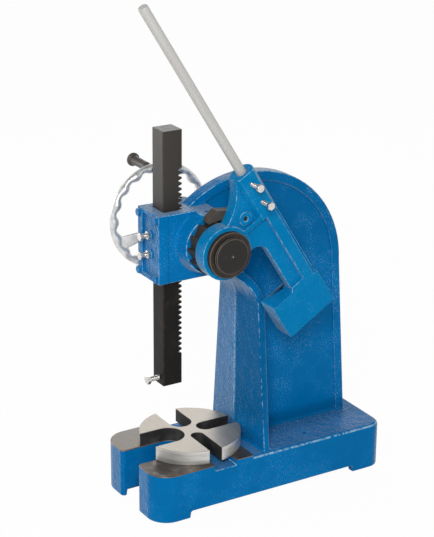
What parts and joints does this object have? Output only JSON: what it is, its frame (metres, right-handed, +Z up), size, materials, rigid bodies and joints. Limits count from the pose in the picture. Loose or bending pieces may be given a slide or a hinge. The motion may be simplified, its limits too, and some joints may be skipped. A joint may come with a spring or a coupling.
{
  "type": "rack arbor press",
  "caption": "Bench arbor press: cast column and slotted base, square rack ram, ratchet lever with counterweight, handwheel and round slotted work plate.",
  "frame": {"origin": "on the sole plane, midway between the two bench bolt holes", "axes": "+Z up along the ram, +X to the operator's right (lever side), +Y to the back"},
  "size_m": [0.431, 0.6574, 1.1866],
  "materials": {
    "frame_paint": "gloss blue enamel over cast iron",
    "lever_paint": "gloss lighter blue enamel over cast iron",
    "black_steel": "black oxide on machined steel",
    "machined_iron": "ground and turned grey iron",
    "zinc_steel": "bright zinc-plated fasteners",
    "bar_steel": "satin ground steel bar",
    "wheel_chrome": "chrome-plated iron",
    "grip_black": "black moulded plastic"
  },
  "bodies": {
    "frame": {"frame_casting": "frame_paint", "head_cap": "frame_paint", "cap_bolts": "frame_paint", "gib_strip": "black_steel", "gib_screws": "zinc_steel", "gib_lock_nuts": "zinc_steel", "arbor_plate": "machined_iron"},
    "ram": {"ram": "black_steel", "ram_set_screw": "zinc_steel"},
    "shaft": {"pinion_shaft": "black_steel", "ratchet_wheel": "black_steel", "ratchet_key": "zinc_steel", "shaft_collar": "black_steel", "collar_screw": "black_steel", "handwheel": "wheel_chrome", "handwheel_key": "zinc_steel", "handwheel_washer": "zinc_steel", "handwheel_nut": "zinc_steel", "handle_spindle": "zinc_steel"},
    "grip": {"handle_grip": "grip_black"},
    "lever": {"lever_casting": "lever_paint", "lever_bar": "bar_steel", "bar_clamp_bolts": "zinc_steel", "pawl_pin": "black_steel"},
    "pawl": {"pawl": "black_steel"}
  },
  "joints": [
    {"name": "ram_slide", "type": "slide", "parent": "frame", "child": "ram", "axis": [0, 0, 1], "range_m": [-0.13, 0.22]},
    {"name": "shaft_turn", "type": "hinge", "parent": "frame", "child": "shaft", "pos_m": [0, -0.258, 0.628], "axis": [1, 0, 0], "range_deg": [-278, 166]},
    {"name": "grip_turn", "type": "hinge", "parent": "shaft", "child": "grip", "pos_m": [-0.2, -0.27797, 0.74125], "axis": [1, 0, 0], "continuous": true},
    {"name": "lever_pull", "type": "hinge", "parent": "frame", "child": "lever", "pos_m": [0, -0.258, 0.628], "axis": [1, 0, 0], "range_deg": [0, 75]},
    {"name": "pawl_lift", "type": "hinge", "parent": "lever", "child": "pawl", "pos_m": [0.1, -0.20986, 0.69817], "axis": [1, 0, 0], "range_deg": [-25, 0]}
  ],
  "couplings": [
    {"joint": "shaft_turn", "follows": "ram_slide", "rad_per_m": -21.739}
  ]
}
